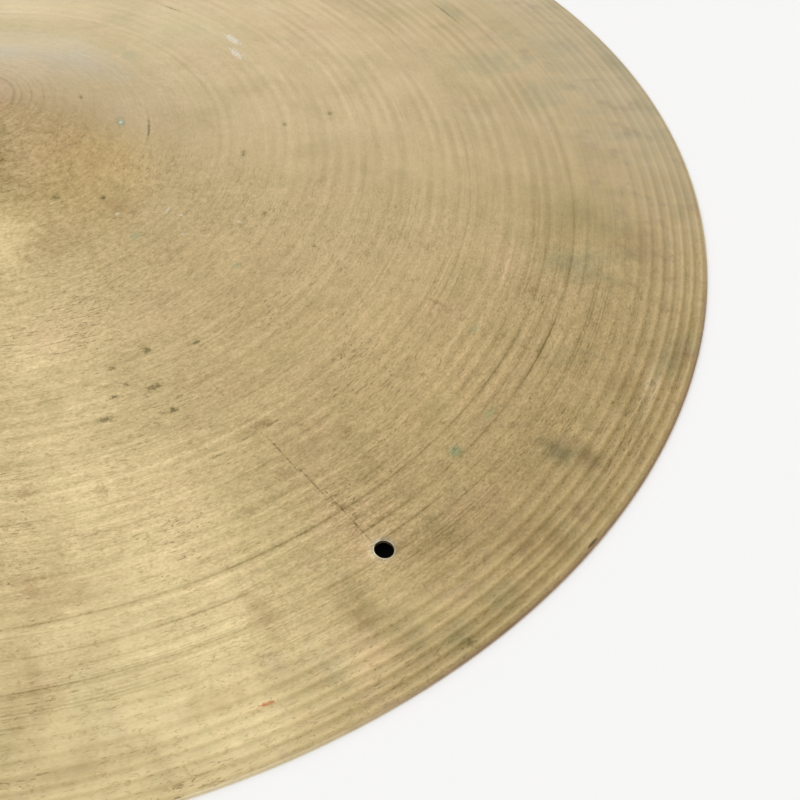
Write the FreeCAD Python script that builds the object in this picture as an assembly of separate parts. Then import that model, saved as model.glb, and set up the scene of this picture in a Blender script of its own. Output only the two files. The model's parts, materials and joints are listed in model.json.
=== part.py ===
import FreeCAD, Part
import math
import os

# Crash cymbal, 16 inch: a single plate of bronze, cast, rolled, pressed, hammered and turned on a
# lathe. It has a domed bell in the middle, a long shallow bow out to the rim, a hole through the
# bell for a stand, and one drilled rivet hole near the rim.
# Millimetres. The origin is on the axis, in the plane that the rim rests on. +Z runs up the axis.

VEC = FreeCAD.Vector

# Plan
RIM_RADIUS = 406.4 / 2
STAND_HOLE_RADIUS = 6.0
RIVET_HOLE_RADIUS = 2.25
RIVET_HOLE_PITCH_RADIUS = 171.75
RIVET_HOLE_AZIMUTH = -66.85     # degrees from +X, counter-clockwise seen from above

# Upper surface: heights are above the top of the rim
APEX_RISE = 31.75               # top of the bell, where the axis would meet it
DOME_RADIUS = 86.3
FOOT_FILLET_RADIUS = 50.0       # concave turn from the bell into the bow
BOW_INNER_RADIUS = 58.0
BOW_INNER_RISE = 17.07
BOW_MIDDLE_RADIUS = 130.6
BOW_MIDDLE_RISE = 9.38

# Thickness of the plate, which tapers outwards
BELL_THICKNESS = 1.3
BOW_INNER_THICKNESS = 1.15
BOW_MIDDLE_THICKNESS = 0.95
RIM_THICKNESS = 0.75
REST_WIDTH = 1.2                # flat ring under the rim that the plate rests on
RIM_EDGE_BULGE = 0.15           # the rim's edge is rounded by this much

CLEAR = 5.0                     # how far the drill runs past the plate on each side


def outward(centre, point, radius):
    """The point at a radius from a centre, in the direction of another point."""
    direction = point - centre
    return centre + direction * (radius / direction.Length)


def arc(centre, start, end):
    """The shorter circular edge from start to end about a centre."""
    middle = outward(centre, (start + end) * 0.5, (start - centre).Length)
    return Part.Arc(start, middle, end).toShape()


def outer_meeting(centre_a, radius_a, centre_b, radius_b):
    """Where two circles in the XZ plane cross, on the side that is further out from the axis."""
    across = centre_b - centre_a
    along = (radius_a ** 2 - radius_b ** 2 + across.Length ** 2) / (2 * across.Length)
    aside = math.sqrt(radius_a ** 2 - along ** 2)
    unit = across * (1 / across.Length)
    foot = centre_a + unit * along
    normal = VEC(-unit.z, 0, unit.x)
    return max(foot + normal * aside, foot - normal * aside, key=lambda point: point.x)


def surface(dome_centre_height, dome_radius, fillet_radius, inner, middle, outer):
    """One side of the plate: its edges from the stand hole to the rim, and the bow's centre."""
    dome_centre = VEC(0, 0, dome_centre_height)
    bow = Part.Arc(inner, middle, outer).toShape().Curve
    fillet_centre = outer_meeting(
        dome_centre, dome_radius + fillet_radius, bow.Center, bow.Radius + fillet_radius
    )
    dome_height = math.sqrt(dome_radius ** 2 - STAND_HOLE_RADIUS ** 2)
    hole_edge = dome_centre + VEC(STAND_HOLE_RADIUS, 0, dome_height)
    dome_end = outward(dome_centre, fillet_centre, dome_radius)
    bow_start = outward(bow.Center, fillet_centre, bow.Radius)
    edges = [
        arc(dome_centre, hole_edge, dome_end),
        arc(fillet_centre, dome_end, bow_start),
        arc(bow.Center, bow_start, outer),
    ]
    return edges, bow.Center


def corner(edge, last):
    """The first or last point of an edge."""
    return edge.valueAt(edge.LastParameter if last else edge.FirstParameter)


def plate():
    """The turned plate with its stand hole, and the centre of the upper bow's arc."""
    dome_centre_height = RIM_THICKNESS + APEX_RISE - DOME_RADIUS
    rim_face_radius = RIM_RADIUS - RIM_EDGE_BULGE
    top_inner = VEC(BOW_INNER_RADIUS, 0, RIM_THICKNESS + BOW_INNER_RISE)
    top_middle = VEC(BOW_MIDDLE_RADIUS, 0, RIM_THICKNESS + BOW_MIDDLE_RISE)
    top_rim = VEC(rim_face_radius, 0, RIM_THICKNESS)
    rest_outer = VEC(rim_face_radius, 0, 0)
    rest_inner = VEC(RIM_RADIUS - REST_WIDTH, 0, 0)

    top, bow_centre = surface(
        dome_centre_height, DOME_RADIUS, FOOT_FILLET_RADIUS, top_inner, top_middle, top_rim
    )
    under, _ = surface(
        dome_centre_height,
        DOME_RADIUS - BELL_THICKNESS,
        FOOT_FILLET_RADIUS + BOW_INNER_THICKNESS,
        top_inner - VEC(0, 0, BOW_INNER_THICKNESS),
        top_middle - VEC(0, 0, BOW_MIDDLE_THICKNESS),
        rest_inner,
    )
    rim_edge = Part.Arc(top_rim, VEC(RIM_RADIUS, 0, RIM_THICKNESS / 2), rest_outer).toShape()
    rest = Part.LineSegment(rest_outer, rest_inner).toShape()
    bore = Part.LineSegment(corner(under[0], False), corner(top[0], False)).toShape()
    section = Part.Wire(top + [rim_edge, rest] + under[::-1] + [bore])
    turned = Part.Face(section).revolve(VEC(0, 0, 0), VEC(0, 0, 1), 360)
    return turned, bow_centre


def rivet_drill(bow_centre):
    """The drill for the rivet hole, square to the upper surface where it enters."""
    bow_radius = (VEC(RIM_RADIUS - RIM_EDGE_BULGE, 0, RIM_THICKNESS) - bow_centre).Length
    drop = RIVET_HOLE_PITCH_RADIUS - bow_centre.x
    height = bow_centre.z + math.sqrt(bow_radius ** 2 - drop ** 2)
    entry = VEC(RIVET_HOLE_PITCH_RADIUS, 0, height)
    normal = outward(bow_centre, entry, 1.0) - bow_centre
    drill = Part.makeCylinder(RIVET_HOLE_RADIUS, 2 * CLEAR, entry - normal * CLEAR, normal)
    drill.rotate(VEC(0, 0, 0), VEC(0, 0, 1), RIVET_HOLE_AZIMUTH)
    return drill


def main():
    turned, bow_centre = plate()
    cymbal = turned.cut(rivet_drill(bow_centre))
    os.makedirs("parts", exist_ok=True)
    cymbal.exportStep("parts/cymbal_plate.step")


main()
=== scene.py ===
import json
import math

import bpy
import numpy as np
from mathutils import Euler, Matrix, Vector

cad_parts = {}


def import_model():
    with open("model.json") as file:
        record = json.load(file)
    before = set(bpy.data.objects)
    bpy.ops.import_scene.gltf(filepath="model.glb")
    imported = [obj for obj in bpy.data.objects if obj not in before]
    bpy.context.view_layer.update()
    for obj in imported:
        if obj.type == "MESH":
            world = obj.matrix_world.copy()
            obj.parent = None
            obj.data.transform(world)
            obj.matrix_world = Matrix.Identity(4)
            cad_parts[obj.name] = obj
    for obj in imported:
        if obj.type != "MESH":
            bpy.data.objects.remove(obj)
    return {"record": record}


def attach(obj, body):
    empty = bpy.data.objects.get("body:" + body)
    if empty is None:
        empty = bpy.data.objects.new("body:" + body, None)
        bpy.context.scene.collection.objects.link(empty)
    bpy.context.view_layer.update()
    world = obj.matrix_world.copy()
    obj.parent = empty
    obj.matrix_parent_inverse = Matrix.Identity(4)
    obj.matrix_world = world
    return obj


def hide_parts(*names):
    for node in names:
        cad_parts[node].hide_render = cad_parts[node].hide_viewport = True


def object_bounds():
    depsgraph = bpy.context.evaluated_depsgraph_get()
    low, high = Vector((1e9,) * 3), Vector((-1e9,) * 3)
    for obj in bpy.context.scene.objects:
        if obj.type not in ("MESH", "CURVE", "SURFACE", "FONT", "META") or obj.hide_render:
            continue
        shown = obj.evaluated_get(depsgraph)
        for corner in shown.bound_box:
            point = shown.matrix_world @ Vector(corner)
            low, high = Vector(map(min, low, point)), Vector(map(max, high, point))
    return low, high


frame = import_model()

# A bronze crash cymbal, lying rim down. Lengths in this script are millimetres until a mesh or an
# object is made, when MM turns them into metres. Azimuths are in degrees from +X, seen from above.

MM = 0.001
CAD_LOW, CAD_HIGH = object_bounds()
PLATE = "cymbal_plate"
MOUNTS = {mount["name"]: mount for mount in frame["record"]["mounts"]}

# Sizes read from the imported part
RIM_RADIUS = CAD_HIGH.x / MM
HOLE_RADIUS = MOUNTS["stand_hole"]["dims"]["r_mm"]
RIVET_RADIUS = MOUNTS["rivet_hole"]["dims"]["r_mm"]
RIVET_PLACE = Vector(MOUNTS["rivet_hole"]["pos_m"]) / MM
RIVET_AXIS = Vector(MOUNTS["rivet_hole"]["axis"])
RIVET_AZIMUTH = math.degrees(math.atan2(RIVET_PLACE.y, RIVET_PLACE.x))
RIVET_OUT = RIVET_PLACE.xy.length       # how far out the rivet hole is

# The plate's section, as in its CAD model
RIM_THICKNESS = 0.75
APEX_RISE = 31.75
DOME_RADIUS = 86.3
FOOT_FILLET_RADIUS = 50.0
TOP_BOW = ((58.0, 17.82), (130.6, 10.13), (203.05, 0.75))
BELL_THICKNESS = 1.3
UNDER_FILLET_RADIUS = 51.15
UNDER_BOW = ((58.0, 16.67), (130.6, 9.18), (202.0, 0.0))

# The mesh
SEGMENTS = 360                  # round the bow
BELL_SEGMENTS = SEGMENTS // 2   # round the bell, where circles are shorter
LATHE_PITCH = 3.72              # between the lathe's lines on the bow
RING_STEP = LATHE_PITCH / 4     # between rings on the bow
BELL_RING_STEP = 1.1
RIM_RING_STEP = 0.4             # between rings in the rim's lathe grooves
BOW_RINGS_FROM = 60.0
RIM_RINGS_FROM = 186.0
UNDER_EVERY = 4                 # the underside has one ring for this many of the upper side's
UNDER_RIM_RINGS = 4
HOLE_BLOCK_RINGS = 7            # rings on each side of the rivet hole that its own patch replaces
HOLE_BLOCK_SEGMENTS = 3
HOLE_BLEND_LOOPS = 4            # loops of that patch, from the block's outline to a circle

# Eased edges, loop by loop. At the two holes: how much wider than the hole, and how deep.
RIVET_BEVELS = ((0.15, 0.0), (0.08, 0.04), (0.02, 0.11), (0.0, 0.25))
STAND_HOLE_BEVELS = ((0.3, 0.02), (0.1, 0.1), (0.0, 0.28))
STAND_HOLE_MARGIN = 0.7
# At the rim: how far inside it, and how far under its upper edge or above the floor.
RIM_UPPER_BEVELS = ((0.2, 0.03), (0.06, 0.13), (0.0, 0.32))
RIM_LOWER_BEVELS = ((0.0, 0.28), (0.06, 0.1), (0.2, 0.01), (0.45, 0.0), (1.2, 0.0))
RIM_UPPER_EDGE = RIM_RADIUS - 0.45      # radius where the upper side turns down


# ---------------------------------------------------------------- the plate's section

def circle_through(a, b, c):
    """Centre and radius of the circle through three points of the section."""
    (ax, ay), (bx, by), (cx, cy) = a, b, c
    d = 2 * (ax * (by - cy) + bx * (cy - ay) + cx * (ay - by))
    sa, sb, sc = ax * ax + ay * ay, bx * bx + by * by, cx * cx + cy * cy
    x = (sa * (by - cy) + sb * (cy - ay) + sc * (ay - by)) / d
    y = (sa * (cx - bx) + sb * (ax - cx) + sc * (bx - ax)) / d
    return x, y, math.hypot(ax - x, ay - y)


def section(dome_radius, fillet_radius, bow_points):
    """A function from distance off the axis to height: dome, concave foot and shallow bow."""
    dome_height = RIM_THICKNESS + APEX_RISE - DOME_RADIUS
    bow_x, bow_y, bow_radius = circle_through(*bow_points)
    near, far = dome_radius + fillet_radius, bow_radius + fillet_radius
    distance = math.hypot(bow_x, bow_y - dome_height)
    along = (near ** 2 - far ** 2 + distance ** 2) / (2 * distance)
    aside = math.sqrt(near ** 2 - along ** 2)
    unit_x, unit_y = bow_x / distance, (bow_y - dome_height) / distance
    foot_x, foot_y = max(
        (unit_x * along - side * unit_y * aside, dome_height + unit_y * along + side * unit_x * aside)
        for side in (1, -1)
    )
    dome_end = foot_x * dome_radius / near
    bow_start = bow_x + (foot_x - bow_x) * bow_radius / far

    def height(radius):
        radius = np.asarray(radius, float)
        dome = dome_height + np.sqrt(np.maximum(dome_radius ** 2 - radius ** 2, 0))
        foot = foot_y - np.sqrt(np.maximum(fillet_radius ** 2 - (radius - foot_x) ** 2, 0))
        bow = bow_y + np.sqrt(bow_radius ** 2 - (radius - bow_x) ** 2)
        return np.where(radius < dome_end, dome, np.where(radius < bow_start, foot, bow))

    return height


top_height = section(DOME_RADIUS, FOOT_FILLET_RADIUS, TOP_BOW)
under_height = section(DOME_RADIUS - BELL_THICKNESS, UNDER_FILLET_RADIUS, UNDER_BOW)


# ---------------------------------------------------------------- what the lathe and hammer left

def fade(value, low, high):
    """0 at low, 1 at high, smooth between. high may be under low."""
    t = np.clip((np.asarray(value, float) - low) / (high - low), 0, 1)
    return t * t * (3 - 2 * t)


RNG = np.random.default_rng(16)
BOW_WAVES = [(7.9, 0.004), (12.7, 0.010), (21.0, 0.022)]     # pitch, half depth
BOW_WAVE_PHASES = RNG.uniform(0, 2 * math.pi, len(BOW_WAVES))
BOW_WAVE_DRIFT = 0.6            # how far a wave wanders as it goes round, in radians of its phase
LATHE_DEPTH = 0.008
RIM_GROOVES_START = 178.7       # radius of the first ridge between the wide grooves near the rim
RIM_GROOVES_FIRST = 0.2268      # ridges per mm there
RIM_GROOVES_CLOSER = 0.00367    # how they crowd towards the rim, in ridges per mm squared
RIM_GROOVE_DEPTH = 0.05
BELL_GROOVE_PITCH = 2.8
BELL_GROOVE_DEPTH = 0.006
UNDER_RELIEF = 0.7              # how deep the underside's marks are beside the upper side's
DENT_COUNT = 420
DENT_RADIUS = 8.5
DENT_DEPTH = 0.07
DENTS_FROM = 62                 # radius where the hammer's rows start, at the bell's foot
DENTS_TO = RIM_RADIUS - 10
DENT_TURNS = 9.5                # turns of the spiral that the rows follow
DENT_SCATTER = 2.5
DENT_TURN_SCATTER = 0.5         # radians

# Radii between which each kind of mark sets in and ends
BOW_WAVES_IN, BOW_WAVES_OUT = (20, 60), (RIM_RADIUS - 2, RIM_RADIUS - 12)
LATHE_OUT = (174, 168)
RIM_GROOVES_IN, RIM_GROOVES_OUT = (174, 184), (202.6, 201.6)
BELL_GROOVES_IN, BELL_GROOVES_OUT = (8, 12), (56, 44)
UNDER_RELIEF_OUT = (201.5, 199)


def dents():
    """Places and depths of the hammer's marks, along a loose spiral."""
    share = np.sqrt(RNG.uniform(0.07, 1, DENT_COUNT))
    turn = 2 * math.pi * DENT_TURNS * share + RNG.normal(0, DENT_TURN_SCATTER, DENT_COUNT)
    radius = DENTS_FROM + (DENTS_TO - DENTS_FROM) * share + RNG.normal(0, DENT_SCATTER, DENT_COUNT)
    depth = DENT_DEPTH * RNG.uniform(0.3, 1.0, DENT_COUNT)
    return radius * np.cos(turn), radius * np.sin(turn), depth


DENTS = dents()


def relief(radius, azimuth):
    """How far the worked surface stands off the plain section, up or down, at points of one ring."""
    lift = np.zeros_like(azimuth)
    for (pitch, half_depth), phase in zip(BOW_WAVES, BOW_WAVE_PHASES):
        drift = BOW_WAVE_DRIFT * (np.sin(azimuth + phase) + 0.5 * np.sin(3 * azimuth - phase))
        lift += half_depth * np.sin(2 * math.pi * radius / pitch + phase + drift)
    lift += LATHE_DEPTH * fade(radius, *LATHE_OUT) * np.cos(2 * math.pi * radius / LATHE_PITCH)
    lift *= fade(radius, *BOW_WAVES_IN) * fade(radius, *BOW_WAVES_OUT)
    rim_band = fade(radius, *RIM_GROOVES_IN) * fade(radius, *RIM_GROOVES_OUT)
    past = radius - RIM_GROOVES_START
    ridge = past * (RIM_GROOVES_FIRST + RIM_GROOVES_CLOSER * past)
    lift += RIM_GROOVE_DEPTH * rim_band * np.cos(2 * math.pi * ridge)
    bell_band = fade(radius, *BELL_GROOVES_IN) * fade(radius, *BELL_GROOVES_OUT)
    lift += BELL_GROOVE_DEPTH * bell_band * np.cos(2 * math.pi * radius / BELL_GROOVE_PITCH)
    x, y = radius * np.cos(azimuth), radius * np.sin(azimuth)
    for dent_x, dent_y, depth in zip(*DENTS):
        if abs(math.hypot(dent_x, dent_y) - radius) < 3 * DENT_RADIUS:
            near = ((x - dent_x) ** 2 + (y - dent_y) ** 2) / DENT_RADIUS ** 2
            lift -= depth * np.exp(-near)
    return lift


# ---------------------------------------------------------------- mesh

class Shell:
    """Vertices and faces of the plate as they are added, loop by loop."""

    def __init__(self):
        self.points = []
        self.faces = []

    def add(self, points):
        """Adds points and returns their numbers."""
        first = len(self.points)
        self.points.extend(points)
        return list(range(first, len(self.points)))

    def face(self, corners, upper):
        """Adds a face. Its corners are in order for the upper side, and turned for the other."""
        self.faces.append(corners if upper else corners[::-1])

    def bridge(self, inner, outer, upper, skip=()):
        """Quads between two loops of the same count. Columns in skip are left open."""
        for j in range(len(inner)):
            if j not in skip:
                k = (j + 1) % len(inner)
                self.face((inner[j], outer[j], outer[k], inner[k]), upper)

    def double(self, inner, outer, upper):
        """Triangles from a loop out to a loop of twice as many points."""
        for j in range(len(inner)):
            k = (j + 1) % len(inner)
            a, b, c = outer[2 * j], outer[2 * j + 1], outer[2 * k]
            for corners in ((inner[j], a, b), (inner[j], b, inner[k]), (inner[k], b, c)):
                self.face(corners, upper)


def azimuths(count):
    """Azimuths of a ring's points, in radians. The first is the rivet hole's."""
    return math.radians(RIVET_AZIMUTH) + 2 * math.pi * np.arange(count) / count


def circle(radius, count, z):
    """Points of one ring. z is a height, or a height for each point."""
    azimuth = azimuths(count)
    return np.stack([radius * np.cos(azimuth), radius * np.sin(azimuth), z + 0 * azimuth], 1)


def ring(height, radius, count, grooves):
    """Points of one ring on a side of the plate. grooves is how deep its marks are."""
    return circle(radius, count, float(height(radius)) + grooves * relief(radius, azimuths(count)))


def side_radii(every):
    """Radii of a side's rings: those on the bell, and those on the bow, which pass the rivet hole."""
    inner_count = int((RIVET_OUT - BOW_RINGS_FROM) / RING_STEP)
    outer_count = int((RIM_RINGS_FROM - RIVET_OUT) / RING_STEP)
    bow = [
        RIVET_OUT + RING_STEP * k for k in range(-inner_count, outer_count + 1)
        if k % every == 0 or abs(k) <= HOLE_BLOCK_RINGS
    ]
    bell_step = BELL_RING_STEP * every
    bell_count = int((bow[0] - HOLE_RADIUS - STAND_HOLE_MARGIN) / bell_step)
    bell = np.linspace(HOLE_RADIUS + STAND_HOLE_MARGIN, bow[0] - bell_step, bell_count)
    return list(bell), bow


def block_outline(rings, first, last):
    """The loop round the opening that is left in a side for the rivet hole."""
    columns = [column % SEGMENTS for column in range(-HOLE_BLOCK_SEGMENTS, HOLE_BLOCK_SEGMENTS + 1)]
    outline = [rings[first][column] for column in columns]
    outline += [rings[row][columns[-1]] for row in range(first + 1, last)]
    outline += [rings[last][column] for column in reversed(columns)]
    outline += [rings[row][columns[0]] for row in range(last - 1, first, -1)]
    return outline


def rivet_mouth(shell, height, outline, upper, grooves):
    """Closes that opening, with loops that turn from its outline to a circle, and then rounds the
    hole's mouth, where rivets wore it. Returns the loop at the drilled wall."""
    outward = Vector((RIVET_PLACE.x, RIVET_PLACE.y, 0)).normalized()
    across = RIVET_AXIS.cross(outward).normalized()
    along = across.cross(RIVET_AXIS)
    starts = [Vector(shell.points[index]) for index in outline]
    steps = [start - RIVET_PLACE for start in starts]
    angles = np.unwrap([math.atan2(step.dot(across), step.dot(along)) for step in steps])
    turn = math.copysign(2 * math.pi, angles[-1] - angles[0])
    angles = 0.5 * (angles + angles[0] + turn * np.arange(len(angles)) / len(angles))
    facing = upper != (turn > 0)
    radials = [along * math.cos(angle) + across * math.sin(angle) for angle in angles]
    loop = outline
    for step in range(1, HOLE_BLEND_LOOPS + 1):
        points = []
        for start, radial in zip(starts, radials):
            end = RIVET_PLACE + radial * (RIVET_RADIUS + RIVET_BEVELS[0][0])
            spot = start.lerp(end, step / HOLE_BLEND_LOOPS)
            lift = grooves * float(relief(spot.xy.length, np.array([math.atan2(spot.y, spot.x)]))[0])
            points.append((spot.x, spot.y, float(height(spot.xy.length)) + lift))
        new = shell.add(points)
        shell.bridge(loop, new, facing)
        loop = new
    inward = -1 if upper else 1
    for wider, depth in RIVET_BEVELS[1:]:
        spots = [RIVET_PLACE + radial * (RIVET_RADIUS + wider) for radial in radials]
        new = shell.add([
            (spot.x, spot.y, float(height(spot.xy.length)) + inward * depth) for spot in spots
        ])
        shell.bridge(loop, new, facing)
        loop = new
    return loop


def build_side(shell, height, every, upper, grooves):
    """One side of the plate, from the stand hole to near the rim. Returns its first and last loops,
    the loop at the rivet hole's wall, and the last loop's radius."""
    bell, bow = side_radii(every)
    loops = [shell.add(ring(height, radius, BELL_SEGMENTS, grooves)) for radius in bell]
    for inner, outer in zip(loops, loops[1:]):
        shell.bridge(inner, outer, upper)
    rings = [shell.add(ring(height, radius, SEGMENTS, grooves)) for radius in bow]
    shell.double(loops[-1], rings[0], upper)
    hole_row = min(range(len(bow)), key=lambda row: abs(bow[row] - RIVET_OUT))
    first, last = hole_row - HOLE_BLOCK_RINGS, hole_row + HOLE_BLOCK_RINGS
    block = {column % SEGMENTS for column in range(-HOLE_BLOCK_SEGMENTS, HOLE_BLOCK_SEGMENTS)}
    for row, (inner, outer) in enumerate(zip(rings, rings[1:])):
        shell.bridge(inner, outer, upper, block if first <= row < last else ())
    mouth = rivet_mouth(shell, height, block_outline(rings, first, last), upper, grooves)
    return loops[0], rings[-1], mouth, bow[-1]


def build_plate():
    shell = Shell()
    top_hole, last, top_mouth, top_radius = build_side(shell, top_height, 1, True, 1.0)
    under_hole, under_last, under_mouth, under_radius = build_side(
        shell, under_height, UNDER_EVERY, False, UNDER_RELIEF)

    # the rim: fine rings across its lathe grooves, a worn edge, and the flat that it rests on
    steps = int((RIM_UPPER_EDGE - top_radius) / RIM_RING_STEP)
    rim = [
        ring(top_height, radius, SEGMENTS, 1.0)
        for radius in np.linspace(top_radius, RIM_UPPER_EDGE, steps + 1)[1:]
    ]
    edge = float(top_height(RIM_UPPER_EDGE))
    rim += [circle(RIM_RADIUS - inset, SEGMENTS, edge - depth) for inset, depth in RIM_UPPER_BEVELS]
    rim += [circle(RIM_RADIUS - inset, SEGMENTS, z) for inset, z in RIM_LOWER_BEVELS]
    flat_end = RIM_RADIUS - RIM_LOWER_BEVELS[-1][0]
    rim += [
        ring(under_height, radius, SEGMENTS, UNDER_RELIEF * float(fade(radius, *UNDER_RELIEF_OUT)))
        for radius in np.linspace(flat_end, under_radius, UNDER_RIM_RINGS + 2)[1:-1]
    ]
    for points in rim:
        new = shell.add(points)
        shell.bridge(last, new, True)
        last = new
    shell.bridge(last, under_last, True)

    # the stand hole's wall, with both edges eased
    top_edge, under_edge = float(top_height(HOLE_RADIUS)), float(under_height(HOLE_RADIUS))
    wall = [(wider, top_edge - depth) for wider, depth in STAND_HOLE_BEVELS]
    wall += [(wider, under_edge + depth) for wider, depth in reversed(STAND_HOLE_BEVELS)]
    last = top_hole
    for wider, z in wall:
        new = shell.add(circle(HOLE_RADIUS + wider, BELL_SEGMENTS, z))
        shell.bridge(new, last, True)
        last = new
    shell.bridge(under_hole, last, True)

    # the rivet hole's drilled wall
    shell.bridge(top_mouth, under_mouth, True)
    return shell


def make_object(shell):
    mesh = bpy.data.meshes.new("bronze_cymbal")
    mesh.from_pydata((np.array(shell.points) * MM).tolist(), [], shell.faces)
    mesh.validate(verbose=True)
    mesh.shade_smooth()
    piece = bpy.data.objects.new("bronze_cymbal", mesh)
    bpy.context.scene.collection.objects.link(piece)
    return piece


# ---------------------------------------------------------------- node trees

class Graph:
    """A node tree, with a short call for each kind of node that the looks use."""

    def __init__(self, tree):
        self.tree = tree

    def node(self, kind, **settings):
        made = self.tree.nodes.new("ShaderNode" + kind)
        for name, value in settings.items():
            setattr(made, name, value)
        return made

    def feed(self, socket, value):
        """Links a socket to a socket, or sets it to a number, a vector or a colour."""
        if isinstance(value, bpy.types.NodeSocket):
            self.tree.links.new(value, socket)
        elif socket.type == "RGBA":
            socket.default_value = (*value, 1)
        else:
            socket.default_value = value

    def math(self, operation, *values):
        made = self.node("Math", operation=operation)
        for socket, value in zip(made.inputs, values):
            self.feed(socket, value)
        return made.outputs["Value"]

    def centred(self, field, amount):
        """A noise field as a change of lightness: amount from its darkest to its lightest."""
        return self.math("MULTIPLY_ADD", field, amount, -amount / 2)

    def product(self, *factors):
        """The product of two or more values."""
        total = factors[0]
        for factor in factors[1:]:
            total = self.math("MULTIPLY", total, factor)
        return total

    def vector(self, operation, *values, output="Vector"):
        made = self.node("VectorMath", operation=operation)
        for socket, value in zip(made.inputs, values):
            self.feed(socket, value)
        return made.outputs[output]

    def scale(self, vector, factor):
        made = self.node("VectorMath", operation="SCALE")
        self.feed(made.inputs["Vector"], vector)
        self.feed(made.inputs["Scale"], factor)
        return made.outputs["Vector"]

    def smooth(self, value, low, high, to_low=0.0, to_high=1.0):
        """to_low where value is low or beyond, to_high where it is high or beyond, smooth between."""
        made = self.node("MapRange", interpolation_type="SMOOTHSTEP")
        for name, number in (("Value", value), ("From Min", low), ("From Max", high),
                             ("To Min", to_low), ("To Max", to_high)):
            self.feed(made.inputs[name], number)
        return made.outputs["Result"]

    def mix(self, share, first, second):
        """A colour: the first where share is 0, the second where it is 1."""
        made = self.node("Mix", data_type="RGBA")
        self.feed(made.inputs[0], share)
        self.feed(made.inputs[6], first)
        self.feed(made.inputs[7], second)
        return made.outputs[2]

    def noise(self, vector, detail=2.0, roughness=0.5):
        made = self.node("TexNoise")
        self.feed(made.inputs["Vector"], vector)
        made.inputs["Scale"].default_value = 1.0
        made.inputs["Detail"].default_value = detail
        made.inputs["Roughness"].default_value = roughness
        return made.outputs["Fac"]


class Place:
    """Where a point of the plate is, in millimetres, for the patterns that follow the lathe."""

    def __init__(self, graph):
        self.graph = graph
        place = graph.node("TexCoord").outputs["Object"]
        self.flat = graph.vector("MULTIPLY", place, (1 / MM, 1 / MM, 0))
        self.radius = graph.vector("LENGTH", self.flat, output="Value")
        self.unit = graph.vector("NORMALIZE", self.flat)

    def turned(self, length, width, seed, detail=2.0, roughness=0.5):
        """Noise drawn out along the lathe's lines: length mm along them and width mm across."""
        graph = self.graph
        across = graph.math("MULTIPLY_ADD", self.radius, 1 / width, seed)
        lift = graph.node("CombineXYZ")
        graph.feed(lift.inputs["Z"], across)
        vector = graph.vector("ADD", graph.scale(self.flat, 1 / length), lift.outputs["Vector"])
        return graph.noise(vector, detail, roughness)

    def mottled(self, size, seed, detail=3.0, roughness=0.55):
        """Noise with no direction, in blotches about size mm wide."""
        graph = self.graph
        vector = graph.vector("MULTIPLY_ADD", self.flat, (1 / size,) * 3, (0.0, 0.0, seed))
        return graph.noise(vector, detail, roughness)

    def rayed(self, width, length, seed, detail=2.0, roughness=0.5):
        """Noise drawn out along the radius, width degrees across and length mm long."""
        graph = self.graph
        spokes = math.degrees(1) / width
        lift = graph.node("CombineXYZ")
        graph.feed(lift.inputs["Z"], graph.math("MULTIPLY_ADD", self.radius, 1 / length, seed))
        vector = graph.vector("ADD", graph.scale(self.unit, spokes), lift.outputs["Vector"])
        return graph.noise(vector, detail, roughness)

    def nearest(self, marks):
        """How far a point is from the nearest of some marks: 0 in its middle, 1 at its outline.

        A mark is its radius, its azimuth, and its half-sizes along the radius and around."""
        graph = self.graph
        lift = graph.node("CombineXYZ")
        graph.feed(lift.inputs["Z"], self.radius)
        here = graph.vector("ADD", self.unit, lift.outputs["Vector"])
        found = None
        for radius, azimuth, half_along, half_around in marks:
            turn = math.radians(azimuth)
            size = (radius / half_around, radius / half_around, 1 / half_along)
            middle = (math.cos(turn), math.sin(turn), radius)
            moved = tuple(-a * b for a, b in zip(size, middle))
            offset = graph.vector("MULTIPLY_ADD", here, size, moved)
            far = graph.vector("LENGTH", offset, output="Value")
            found = far if found is None else graph.math("MINIMUM", found, far)
        return found


# ---------------------------------------------------------------- the bronze

WORN_SIDE = -65.0               # azimuth of the side most played on
FAR_SIDE = 190.0                # azimuth of the middle of the far side, which is worn as well, and where the rim's painted ridge shading is strong
GRAINY = -82.0                  # azimuth where the worn side's grain and patches are strongest
DULL_EDGE = -50.0               # azimuth where the rim's edge is mauve with a painted highlight band inside it, not pale; the rim's painted ridge shading and the outer grain are stronger there too
ALL_ROUND = 1500.0              # the length of a line that goes right round the plate

BRONZE = (0.615, 0.47, 0.237)
# A grey haze: over part of the rim and round the rivet hole, and a painted reflection on the bell's
# far side.
HAZE_AND_SHEEN = (0.52, 0.46, 0.34)
STRAW = (0.602, 0.485, 0.243)
CREAM = (0.80, 0.70, 0.46)
WHITE = (0.95, 0.92, 0.80)
PINK = (0.64, 0.45, 0.25)
BROWN = (0.33, 0.21, 0.085)
OLIVE = (0.36, 0.31, 0.12)
GREY_GREEN = (0.32, 0.325, 0.17)
# Soot: real in spots, the scribed line and the nick, and painted shade on the rivet hole's wall.
SOOT_AND_SHADE = (0.11, 0.08, 0.035)
VERDIGRIS = (0.15, 0.36, 0.21)
RUST = (0.42, 0.13, 0.04)
MAUVE = (0.30, 0.19, 0.15)
DIRT = (0.20, 0.125, 0.045)
TINT_GAIN = (1.0, 1.04, 1.3)    # how strongly red, green and blue follow the metal's lightness
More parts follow.
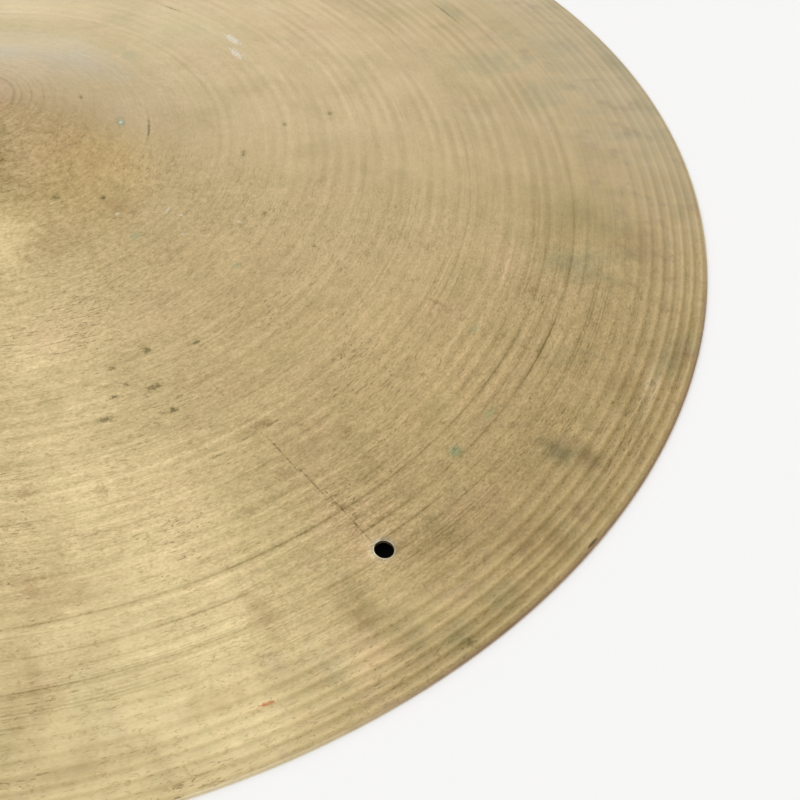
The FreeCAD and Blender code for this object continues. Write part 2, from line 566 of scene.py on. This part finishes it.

# Marks on the upper side, a group for each colour and strength. A mark is its radius, its azimuth,
# and its half-sizes along the radius and around. Stains are wide, with soft ragged outlines; among
# them is a painted reflection, a grey haze on the bell's far side.
STAINS_AND_PAINTED_SHEEN = (
    (STRAW, 0.75, ((180, -88, 34, 62), (183, 26, 30, 38), (78, 32, 16, 18))),
    (GREY_GREEN, 0.42, ((166, -29, 11, 8), (198, -67, 4, 5), (197, -37, 5, 7), (183, -50, 6, 4.5))),
    (GREY_GREEN, 0.30, (
        (197, -63, 5, 6), (158, 6, 17, 9), (166, -1, 9, 9), (187, 8, 11, 8), (200, 4, 4, 22),
        (163, 18, 4, 8), (56, 34, 3, 6),
    )),
    (OLIVE, 0.24, (
        (170, -22, 20, 22), (175, -17, 16, 3), (183, -46, 6, 8), (182, -71, 10, 4), (181, 4, 8, 7),
        (145, 20, 11, 8), (150, -74, 18, 11), (153, -53, 4, 7),
    )),
    (BROWN, 0.34, (
        (184, -24, 9, 12), (188, -41, 7, 6), (174, -94, 10, 10), (186, -83, 4, 10), (172, -77.5, 9, 4),
        (190, -58.5, 8, 4), (50, -53, 5, 4), (52, -80, 6, 9), (152, -92, 9, 12), (191, -92, 5, 16),
        (182, -71.5, 7, 4), (195, -57, 8, 5), (198.5, -36, 3.5, 9),
    )),
    (PINK, 0.40, ((178, -60, 7, 16), (115, 20, 9, 12), (180, -14, 10, 5), (72, 24, 7, 12))),
    (SOOT_AND_SHADE, 0.42, ((182, -49.8, 6, 6), (190, -49.3, 6.5, 4.5))),
    (HAZE_AND_SHEEN, 0.24, ((198, 4, 34, 140),)),
    # Painted reflection: a grey haze on the bell's far side.
    (HAZE_AND_SHEEN, 0.40, ((38, 38, 15, 17), (30, 70, 12, 14))),
    (PINK, 0.40, ((10, 0, 24, 70), (34, -9, 18, 9), (24, -76, 14, 9))),
    (CREAM, 0.45, ((193.6, -40, 1.0, 9), (195.5, -40.5, 1.0, 10))),
)
# Spots are small, with firmer outlines.
SPOTS = (
    (VERDIGRIS, 0.46, ((163.7, -55.7, 1.7, 2.3), (38.3, -14.5, 1.3, 2.2))),
    (VERDIGRIS, 0.32, (
        (163.5, -50.3, 0.9, 3.2), (148, -42, 1.1, 1.8), (87, -50, 1.0, 1.4), (61, -57.5, 1.3, 1.8),
    )),
    (BROWN, 0.40, (
        (147, -74, 2.0, 2.2), (143, -69, 2.0, 2.6), (142, -61, 1.6, 1.9), (149, -93.5, 2.2, 2.0),
        (129, -85.5, 2.2, 1.8), (125, -93, 1.6, 2.2), (157, -67, 2.2, 2.0), (128, -67.5, 1.8, 3.0),
        (157, -34, 1.8, 1.7), (136, -40.5, 3.4, 0.8),
    )),
    (SOOT_AND_SHADE, 0.60, (
        (110, -82.5, 0.8, 1.8), (105.7, -75, 0.9, 1.7), (104.5, -80.3, 0.5, 1.3),
        (102, -78, 0.6, 0.7), (99, -66, 0.7, 1.2), (96.2, -78.7, 0.7, 0.8), (94.6, -72.8, 1.1, 0.9),
        (114, -74.5, 0.7, 1.0), (46, -54, 0.7, 0.7), (45.8, -13.5, 0.3, 4.6),
    )),
    (SOOT_AND_SHADE, 0.42, (
        (200.6, -66.8, 0.9, 1.4),
        (83.5, -35.5, 0.7, 0.8), (100, -39, 0.7, 0.6), (98, -4, 0.7, 0.9), (84, -7.5, 0.6, 0.8),
        (72, -18.5, 0.5, 1.5), (40, -68, 0.6, 1.2), (28, -3, 0.45, 1.0), (87, 42, 0.4, 3.0),
        (160.5, 17.5, 0.5, 7.0), (129.5, -66.3, 0.3, 2.4), (129.6, -69.8, 0.3, 2.2),
        (130.5, -73.3, 0.3, 2.2),
    )),
    (RUST, 0.75, ((190.4, -80, 0.4, 2.0),)),
    (WHITE, 0.62, ((38.4, -14.5, 0.5, 1.0), (52, -55, 0.4, 0.8))),
    (CREAM, 0.55, ((41.0, -69, 0.3, 1.9),)),
    (WHITE, 0.36, (
        (61, -45.5, 0.5, 2.0), (65, -44.8, 1.4, 0.4), (79, -40, 1.4, 0.4), (69.5, -49.5, 0.5, 0.7),
        (87, 24.5, 1.5, 4.2), (83.2, 19.6, 1.3, 3.8),
    )),
)
NICK = (202.4, -55.3, 0.35, 2.2)
# The line scribed across the bow, through the rivet hole, and worn away in places: the radius of the
# middle of each stretch that is left, and half its length.
SCRIBED = ((160.5, 8.5), (147.5, 5.5), (138, 5.5))
SCRIBED_FAINT = ((129.5, 2.5), (114, 3.5), (178.5, 3.5), (185, 2.5))
SCRIBED_DRIFT = 0.028           # degrees that the line turns in each millimetre of radius
SCRIBED_HALF_WIDTH = 0.28
# Lines round the felt washer's place on the bell: radius, half-width, strength.
BELL_LINES = ((10.7, 0.8, 0.36), (12.6, 0.5, 0.20), (15.2, 0.5, 0.15), (18.4, 0.6, 0.11))

# Painted light and shade over the whole plate: broad lighter and darker areas that stand in for
# highlights and shading, such as the bright sector on the outer bow and the gloss at the bell's far
# side. A mark's radius, azimuth and half-sizes, and how much lighter it is in the middle.
PAINTED_LIGHT_AND_SHADE = (
    (10, 0, 26, 90, -0.08),
    (18, -88, 14, 9, -0.34),
    (31, -86, 13, 10, -0.20),
    (25, -50, 16, 13, 0.08),
    (18, -5, 22, 11, -0.11),
    (44, -93, 12, 12, 0.20),
    (42, -38, 12, 22, 0.19),
    (54, -75, 12, 18, -0.08),
    (53, -40, 8, 9, 0.06),
    (82, -50, 12, 20, 0.08),
    (110, -76, 26, 20, -0.09),
    (52, 0, 11, 34, -0.08),
    (84, -88, 14, 22, 0.10),
    (95, 45, 34, 70, 0.06),
    (100, -45, 70, 65, 0.06),
    (132, -48, 32, 42, 0.12),
    (140, 12, 90, 130, 0.05),
    (140, 26, 16, 20, -0.14),
    (165, -82, 72, 44, 0.18),
    (187, -81, 17, 18, 0.11),
    (182, -50, 30, 60, -0.04),
    (181, -45, 12, 24, 0.07),
    (157, -25, 12, 20, -0.06),
    (171, -90, 8, 28, -0.07),
    (187, -84, 13, 20, 0.07),
    (171, -80, 10, 12, 0.06),
    (199.5, -68, 6, 50, -0.15),
    (196, -81, 9, 12, 0.08),
    (184, -48, 7, 16, 0.05),
    (66, 0, 12, 22, -0.06),
    (140, -30, 14, 18, 0.05),
    (142, -70, 13, 14, -0.05),
    (197, 18, 9, 14, 0.07),
    (71, 72, 12, 26, 0.17),
)


def share_near(graph, place, azimuth, low, high, least=0.0):
    """1 at an azimuth, falling to a least share away from it. low and high are cosines."""
    turn = math.radians(azimuth)
    toward = (math.cos(turn), math.sin(turn), 0.0)
    facing = graph.vector("DOT_PRODUCT", place.unit, toward, output="Value")
    return graph.smooth(facing, low, high, least, 1.0)


def share_far(graph, place):
    """1 on the far side of the plate, and 0 on the half that faces away from it."""
    return share_near(graph, place, FAR_SIDE, 0.0, 0.5)


def share_worn(graph, place, low, high, least=0.0):
    """1 on the side played on and on the far side, falling to a least share between them."""
    near = share_near(graph, place, WORN_SIDE, low, high, least)
    return graph.math("MAXIMUM", near, share_far(graph, place))


def even_circles(graph, place):
    """The circles that the lathe's tool left on the bow, a pitch apart, with dirt in some."""
    even = graph.math("COSINE", graph.math("MULTIPLY", place.radius, 2 * math.pi / LATHE_PITCH))
    lines = graph.product(
        even,
        graph.smooth(place.turned(24.0, 7.0, 61.0, 2.0), 0.36, 0.64, 0.0, 0.075),
        graph.smooth(place.radius, 46.0, 125.0, 0.25, 1.0),
        graph.smooth(place.radius, 176.0, 166.0),
    )
    dirt = graph.product(
        graph.smooth(even, -0.86, -1.0, 0.0, -0.19),
        graph.smooth(place.turned(36.0, 6.0, 79.0, 2.0), 0.42, 0.62),
        graph.smooth(place.radius, 145.0, 160.0),
        graph.smooth(place.radius, 182.0, 176.0),
    )
    return graph.math("MULTIPLY_ADD", dirt, share_worn(graph, place, 0.62, 0.88), lines)


def bell_rings(graph, place):
    """Uneven rings on the bell and its foot, broken here and there."""
    return graph.product(
        graph.centred(place.turned(ALL_ROUND, 1.3, 103.0, 3.0, 0.6), 0.24),
        graph.smooth(place.turned(26.0, 6.0, 109.0), 0.36, 0.62, 0.3, 1.2),
        graph.smooth(place.radius, 8.0, 20.0),
        graph.smooth(place.radius, 95.0, 65.0),
    )


def rim_ridge_shading(graph, place):
    """Painted shading of the ridges near the rim: lighter on each ridge between the grooves and darker
    in each groove, following the grooves cut in the mesh, stronger towards DULL_EDGE and on the far
    side.
    """
    past = graph.math("SUBTRACT", place.radius, RIM_GROOVES_START)
    crowd = graph.math("MULTIPLY_ADD", past, RIM_GROOVES_CLOSER, RIM_GROOVES_FIRST)
    wander = graph.centred(place.turned(150.0, 12.0, 71.0), 0.12)
    ridge = graph.math("MULTIPLY", graph.math("MULTIPLY_ADD", past, crowd, wander), 2 * math.pi)
    crisp = graph.math("COSINE", graph.math("MULTIPLY_ADD", ridge, 2.0, -0.9))
    band = graph.math("MULTIPLY_ADD", crisp, 0.45, graph.math("COSINE", ridge))
    dull = share_near(graph, place, DULL_EDGE, 0.75, 0.97, 0.38)
    contrast = graph.math("MAXIMUM", share_far(graph, place), dull)
    return graph.product(band, graph.smooth(place.radius, 172.0, 194.0, 0.0, 0.14), contrast)


def grain(graph, place):
    """The fine, broken grain of the worked surface, with spots that show most on the bell."""
    short = graph.centred(place.turned(0.9, 0.5, 3.0, 1.0, 0.6), 0.50)
    longer = graph.centred(place.turned(3.5, 0.7, 11.0, 2.0, 0.6), 0.36)
    spotted = graph.math("SUBTRACT", place.mottled(2.2, 57.0, 3.0, 0.65), 0.5)
    spots = graph.math("MULTIPLY", spotted, graph.smooth(place.radius, 40.0, 100.0, 0.62, 0.24))
    return graph.math("ADD", graph.math("ADD", short, longer), spots)


def drawn_lines(graph, place, kept):
    """Uneven lines that go right round the bow, some darker and some lighter than the rest."""
    drawn = graph.centred(place.turned(ALL_ROUND, 1.3, 23.0, 2.0, 0.6), 0.40)
    dark = graph.smooth(place.turned(ALL_ROUND, 1.1, 29.0, 1.0), 0.58, 0.74, 0.0, 0.18)
    light = graph.smooth(place.turned(ALL_ROUND, 1.5, 31.0, 1.0), 0.60, 0.76, 0.0, 0.16)
    return graph.product(
        graph.math("ADD", drawn, graph.math("SUBTRACT", light, dark)),
        kept,
        graph.smooth(place.radius, 50.0, 130.0, 0.35, 1.0),
        graph.smooth(place.radius, 145.0, 182.0, 0.9, 0.30),
    )


def hairlines(graph, place, kept):
    """A few thin dark lines on the outer bow, where dirt stayed in the deepest cuts."""
    off = graph.math("ABSOLUTE", graph.math("SUBTRACT", place.turned(ALL_ROUND, 2.2, 47.0, 1.0), 0.5))
    return graph.product(
        graph.smooth(off, 0.035, 0.0, 0.02, -0.11),
        kept,
        graph.smooth(place.radius, 186.0, 178.0, 0.25, 1.0),
        graph.smooth(place.radius, 140.0, 165.0),
    )


def roughened(graph, place, fine, grainy):
    """The fine pattern made stronger or weaker: how worn the outer bow is differs round the plate."""
    rough = graph.math("MULTIPLY", share_near(graph, place, DULL_EDGE, 0.78, 0.97, 0.50),
                       graph.smooth(place.radius, 178.0, 195.0, 1.25, 0.80))
    outer = graph.smooth(place.radius, 135.0, 162.0)
    rough = graph.math("MULTIPLY_ADD", graph.math("SUBTRACT", rough, 1.0), outer, 1.0)
    coarser = graph.smooth(place.radius, 168.0, 190.0, 0.18, -0.20)
    return graph.product(fine, rough, graph.math("MULTIPLY_ADD", grainy, coarser, 1.0))


def tone(graph, place):
    """How light the worked metal is, about 1, with painted light and shade added: painted shading on
    the rim's ridges and broad painted highlights and shading.
    """
    kept = graph.smooth(place.turned(30.0, 5.0, 89.0, 2.0), 0.36, 0.64, 0.30, 1.60)
    grainy = share_near(graph, place, GRAINY, 0.85, 0.98)
    fine = graph.math("ADD", grain(graph, place), drawn_lines(graph, place, kept))
    fine = roughened(graph, place, fine, grainy)
    fine = graph.math("ADD", fine, hairlines(graph, place, kept))
    total = graph.math("MULTIPLY_ADD", fine, share_worn(graph, place, 0.66, 0.88, 0.42), 1.0)
    # The last of these paints shading on the rim's ridges.
    for lines in (even_circles, bell_rings, rim_ridge_shading):
        total = graph.math("ADD", total, lines(graph, place))
    on_bow = graph.smooth(place.radius, 40.0, 85.0, 0.35, 1.0)
    fields = (
        (place.turned(600.0, 3.8, 37.0, 2.0, 0.5), 0.15),
        (place.mottled(9.0, 51.0), 0.22),
        (place.mottled(42.0, 67.0, 2.0), 0.22),
    )
    for field, amount in fields:
        total = graph.math("MULTIPLY_ADD", graph.centred(field, amount), on_bow, total)
    patchy = graph.math("MULTIPLY", graph.centred(place.mottled(15.0, 107.0, 2.0), 0.50), grainy)
    total = graph.math("MULTIPLY_ADD", patchy, graph.smooth(place.radius, 150.0, 175.0), total)
    # Painted light and shade: broad lighter and darker areas added to the lightness.
    for radius, azimuth, half_along, half_around, gain in PAINTED_LIGHT_AND_SHADE:
        far = place.nearest(((radius, azimuth, half_along, half_around),))
        total = graph.math("ADD", total, graph.smooth(far, 1.25, 0.0, 0.0, gain))
    return total


def scuffs(graph, place):
    """Short wavering scratches that dirt has stayed in, as a share. The worn side has most."""
    wave = place.turned(3.4, 1.2, 191.0, 2.0, 0.6)
    line = graph.smooth(graph.math("ABSOLUTE", graph.math("SUBTRACT", wave, 0.5)), 0.05, 0.0)
    kept = graph.smooth(place.turned(3.0, 2.0, 197.0, 2.0), 0.46, 0.62)
    worn = share_worn(graph, place, 0.62, 0.90, 0.12)
    return graph.product(line, kept, worn)


def flecks(graph, place):
    """Dark dashes in the lathe's lines and small pits, as two shares. The worn side has most."""
    ground = graph.math("MULTIPLY", share_near(graph, place, WORN_SIDE, 0.5, 0.9), 0.12)
    ground = graph.math("MULTIPLY_ADD", place.mottled(30.0, 83.0, 2.0), 0.45, ground)
    dash = graph.math("ADD", place.turned(2.6, 0.42, 91.0, 2.0), ground)
    dashes = graph.smooth(dash, 0.99, 1.08)
    pit = graph.math("ADD", place.turned(1.0, 0.7, 97.0, 2.0, 0.6), ground)
    pits = graph.smooth(pit, 1.03, 1.12)
    return dashes, pits


def patina(graph, place, colour):
    """Tarnish in soft patches: pinkish and olive over the bow, grey-green streaks up to the rim."""
    outer = graph.smooth(place.radius, 145.0, 186.0)
    blush = graph.smooth(place.mottled(24.0, 101.0), 0.50, 0.74, 0.0, 0.34)
    colour = graph.mix(blush, colour, PINK)
    colour = graph.mix(graph.smooth(place.mottled(15.0, 113.0), 0.52, 0.75, 0.0, 0.22), colour, OLIVE)
    rays = place.rayed(3.2, 24.0, 127.0, 3.0, 0.55)
    streaked = graph.math("MULTIPLY", graph.smooth(rays, 0.50, 0.74, 0.0, 0.30), outer)
    colour = graph.mix(streaked, colour, GREY_GREEN)
    patch = graph.smooth(place.mottled(7.0, 131.0, 2.0), 0.54, 0.72, 0.0, 0.26)
    return graph.mix(graph.math("MULTIPLY", patch, outer), colour, MAUVE)


def marked(graph, place, colour):
    """Every mark of the lists above, one group over another, the painted reflection on the bell's far
    side among them. Spots of soot have an olive edge.
    """
    loose = graph.math("MULTIPLY_ADD", place.mottled(5.0, 139.0, 3.0, 0.6), 1.8, -0.9)
    for tint, strength, marks in STAINS_AND_PAINTED_SHEEN:
        far = graph.math("ADD", place.nearest(marks), loose)
        colour = graph.mix(graph.smooth(far, 1.25, 0.0, 0.0, strength), colour, tint)
    tight = graph.math("MULTIPLY_ADD", place.mottled(0.8, 149.0, 2.0, 0.65), 3.2, -1.6)
    for tint, strength, marks in SPOTS:
        far = graph.math("ADD", place.nearest(marks), tight)
        if tint == SOOT_AND_SHADE:
            colour = graph.mix(graph.smooth(far, 2.2, 0.6, 0.0, 0.3), colour, OLIVE)
        colour = graph.mix(graph.smooth(far, 1.15, 0.35, 0.0, strength), colour, tint)
    kept = graph.smooth(place.mottled(3.2, 151.0, 1.0), 0.40, 0.56, 0.25, 1.0)
    for dashes, strength in ((SCRIBED, 0.66), (SCRIBED_FAINT, 0.22)):
        scribed = []
        for radius, half_length in dashes:
            azimuth = RIVET_AZIMUTH - SCRIBED_DRIFT * (RIVET_OUT - radius)
            scribed.append((radius, azimuth, half_length, SCRIBED_HALF_WIDTH))
        far = graph.math("ADD", place.nearest(scribed), tight)
        share = graph.math("MULTIPLY", graph.smooth(far, 1.3, 0.2, 0.0, strength), kept)
        colour = graph.mix(share, colour, SOOT_AND_SHADE)
    return graph.mix(graph.smooth(place.nearest((NICK,)), 1.1, 0.8, 0.0, 0.9), colour, SOOT_AND_SHADE)


def rivet_wear_and_hole_shade(graph, place, colour):
    """The pale ring that a rivet rubbed round its hole and the grey halo outside it, with painted
    shade: the hole's wall is painted nearly black.
    """
    away = graph.vector("DISTANCE", place.flat, (RIVET_PLACE.x, RIVET_PLACE.y, 0.0), output="Value")
    halo = graph.smooth(away, RIVET_RADIUS + 1.9, RIVET_RADIUS + 0.4, 0.0, 0.26)
    colour = graph.mix(halo, colour, HAZE_AND_SHEEN)
    ring = graph.smooth(away, RIVET_RADIUS + 0.42, RIVET_RADIUS + 0.25, 0.0, 0.42)
    colour = graph.mix(ring, colour, WHITE)
    # Painted shade: the hole's wall is painted nearly black.
    wall = graph.smooth(away, RIVET_RADIUS + 0.12, RIVET_RADIUS + 0.02)
    return graph.mix(wall, colour, SOOT_AND_SHADE)


def bell_wear(graph, place, colour):
    """Where a felt washer sat round the stand hole: pinkish, with brown lines at its edge."""
    colour = graph.mix(graph.smooth(place.radius, 10.8, 9.8, 0.0, 0.60), colour, PINK)
    for radius, half_width, strength in BELL_LINES:
        off = graph.math("ABSOLUTE", graph.math("SUBTRACT", place.radius, radius))
        colour = graph.mix(graph.smooth(off, half_width, 0.1, 0.0, strength), colour, BROWN)
    return colour


def rim_wear_and_painted_reflection(graph, place, colour):
    """The rim's edge, partly wear and partly painted reflection, changing round the plate: towards
    DULL_EDGE a faint painted highlight band inside the edge and a mauve edge, and elsewhere an edge
    rubbed pale.
    """
    dull = share_near(graph, place, DULL_EDGE, 0.84, 0.97)
    # Painted highlight: a faint pale band over the last millimetres inside the edge, towards
    # DULL_EDGE.
    light = graph.smooth(place.radius, RIM_RADIUS - 2.4, RIM_RADIUS - 1.5, 0.0, 0.10)
    colour = graph.mix(graph.math("MULTIPLY", light, dull), colour, CREAM)
    # A mauve edge, strongest towards DULL_EDGE, partly a painted reflection.
    edge = graph.smooth(place.radius, RIM_RADIUS - 0.9, RIM_RADIUS - 0.3)
    shade = graph.math("MULTIPLY_ADD", dull, 0.5, 0.15)
    colour = graph.mix(graph.math("MULTIPLY", edge, shade), colour, MAUVE)
    # A pale edge away from DULL_EDGE: partly rubbed bronze, partly a painted reflection.
    pale_rim_edge = graph.smooth(place.radius, RIM_RADIUS - 0.6, RIM_RADIUS - 0.3)
    pale = graph.math("MULTIPLY_ADD", dull, -0.85, 0.85)
    return graph.mix(graph.math("MULTIPLY", pale_rim_edge, pale), colour, CREAM)


def bronze(name, with_marks):
    """Turned bronze, tarnished by use, with painted light and shade in its colour. The upper side
    carries the marks.
    """
    material = bpy.data.materials.new(name)
    material.use_nodes = True
    graph = Graph(material.node_tree)
    shader = material.node_tree.nodes["Principled BSDF"]
    place = Place(graph)

    colour = patina(graph, place, BRONZE)
    dashes, pits = flecks(graph, place)
    if with_marks:
        colour = marked(graph, place, colour)
    colour = graph.mix(graph.math("MULTIPLY", scuffs(graph, place), 0.42), colour, BROWN)
    colour = graph.mix(graph.math("MULTIPLY", dashes, 0.45), colour, DIRT)
    colour = graph.mix(graph.math("MULTIPLY", pits, 0.62), colour, DIRT)
    if with_marks:
        colour = rivet_wear_and_hole_shade(graph, place, colour)
        colour = bell_wear(graph, place, colour)
    colour = rim_wear_and_painted_reflection(graph, place, colour)
    lightness = tone(graph, place)
    offset = tuple(1 - gain for gain in TINT_GAIN)
    tinted = graph.vector("ADD", graph.scale(TINT_GAIN, lightness), offset)
    graph.feed(shader.inputs["Base Color"], graph.vector("MULTIPLY", colour, tinted))

    shader.inputs["Metallic"].default_value = 1.0
    roughness = graph.math("MULTIPLY_ADD", place.mottled(12.0, 163.0, 2.0), 0.14, 0.33)
    graph.feed(shader.inputs["Roughness"], roughness)
    shader.inputs["Anisotropic"].default_value = 0.8
    shader.inputs["Anisotropic Rotation"].default_value = 0.25
    tangent = graph.node("Tangent", direction_type="RADIAL", axis="Z")
    graph.feed(shader.inputs["Tangent"], tangent.outputs["Tangent"])

    scored = place.turned(7.0, 0.6, 173.0, 1.0)
    height = graph.math("SUBTRACT", scored, pits)
    height = graph.math("MULTIPLY", height, share_near(graph, place, WORN_SIDE, 0.66, 0.88, 0.35))
    bump = graph.node("Bump")
    bump.inputs["Strength"].default_value = 1.0
    bump.inputs["Distance"].default_value = 0.03 * MM
    graph.feed(bump.inputs["Height"], height)
    graph.feed(shader.inputs["Normal"], bump.outputs["Normal"])
    return material


def finish_sides(mesh):
    """Gives the plate its two materials: faces above the middle of its thickness get the marks."""
    mesh.materials.append(bronze("bronze_upper", True))
    mesh.materials.append(bronze("bronze_under", False))
    for face in mesh.polygons:
        x, y, z = face.center / MM
        radius = math.hypot(x, y)
        middle = 0.5 * float(top_height(radius) + under_height(radius))
        face.material_index = 0 if z > middle else 1


# ---------------------------------------------------------------- the studio

# Soft light from tall windows behind the plate, bluer near the floor, and from one on its left:
# azimuth from +Y towards +X, elevation, how narrow, and colour. AMBIENT is the rest of the room.
LIGHTS = (
    (0, 10, 40, (0.62, 0.98, 1.75)),
    (45, 10, 40, (0.20, 0.40, 0.85)),
    (15, 28, 40, (0.76, 0.92, 1.42)),
    (0, 70, 40, (1.54, 1.81, 2.36)),
    (-98, 48, 22, (2.10, 2.55, 3.20)),
)
AMBIENT = (0.67, 0.62, 0.51)
BACKDROP = (0.93, 0.93, 0.93)   # what the camera sees above the floor
FLOOR_COLOUR = (0.945, 0.94, 0.96)
FLOOR_GLOW = 0.09               # the table is lit a little from below
SHADE_UNDER_PLATE_COLOUR = (0.02, 0.02, 0.02)    # painted shade: the floor is painted nearly black under the plate, which its holes look onto
SHADE_UNDER_PLATE_RADIUS = 190
FLOOR_HALF = 6.0                # metres
LENS = 65.25                    # focal length on a sensor 36 mm wide
CAMERA_PLACE = (0.0, -0.34627, 0.26215)     # metres
CAMERA_TURN = (43.750, -2.250, -17.834)     # degrees about X, Y and Z


def world():
    made = bpy.data.worlds.new("studio")
    made.use_nodes = True
    graph = Graph(made.node_tree)
    direction = graph.node("TexCoord").outputs["Generated"]
    light = AMBIENT
    for azimuth, elevation, narrow, colour in LIGHTS:
        turn, rise = math.radians(azimuth), math.radians(elevation)
        toward = (math.sin(turn) * math.cos(rise), math.cos(turn) * math.cos(rise), math.sin(rise))
        facing = graph.vector("DOT_PRODUCT", direction, toward, output="Value")
        lobe = graph.math("POWER", graph.math("MAXIMUM", facing, 0.0), narrow)
        light = graph.vector("ADD", graph.scale(colour, lobe), light)
    seen = graph.node("LightPath").outputs["Is Camera Ray"]
    background = made.node_tree.nodes["Background"]
    graph.feed(background.inputs["Color"], graph.mix(seen, light, BACKDROP))
    bpy.context.scene.world = made


def floor():
    mesh = bpy.data.meshes.new("floor")
    corners = [(FLOOR_HALF * x, FLOOR_HALF * y, 0) for x, y in ((-1, -1), (1, -1), (1, 1), (-1, 1))]
    mesh.from_pydata(corners, [], [(0, 1, 2, 3)])
    stage = bpy.data.objects.new("floor", mesh)
    bpy.context.scene.collection.objects.link(stage)
    material = bpy.data.materials.new("floor")
    material.use_nodes = True
    shader = material.node_tree.nodes["Principled BSDF"]
    graph = Graph(material.node_tree)
    place = graph.vector("MULTIPLY", graph.node("TexCoord").outputs["Object"], (1 / MM, 1 / MM, 0))
    radius = graph.vector("LENGTH", place, output="Value")
    # Painted shade: inside that radius the floor is nearly black and does not glow.
    painted_shade_under_plate = graph.math("LESS_THAN", radius, SHADE_UNDER_PLATE_RADIUS)
    graph.feed(shader.inputs["Base Color"], graph.mix(painted_shade_under_plate, FLOOR_COLOUR, SHADE_UNDER_PLATE_COLOUR))
    shader.inputs["Roughness"].default_value = 0.9
    shader.inputs["Specular IOR Level"].default_value = 0.0
    graph.feed(shader.inputs["Emission Color"], graph.mix(painted_shade_under_plate, (1, 1, 1), (0, 0, 0)))
    shader.inputs["Emission Strength"].default_value = FLOOR_GLOW
    mesh.materials.append(material)


def camera():
    data = bpy.data.cameras.new("camera")
    data.sensor_width = 36.0
    data.lens = LENS
    data.clip_start = 0.01
    made = bpy.data.objects.new("camera", data)
    made.location = CAMERA_PLACE
    made.rotation_euler = Euler([math.radians(turn) for turn in CAMERA_TURN], "XYZ")
    bpy.context.scene.collection.objects.link(made)
    bpy.context.scene.camera = made


plate = make_object(build_plate())
finish_sides(plate.data)
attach(plate, "root")
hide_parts(PLATE)
world()
floor()
camera()
bpy.context.scene.view_settings.view_transform = "Standard"
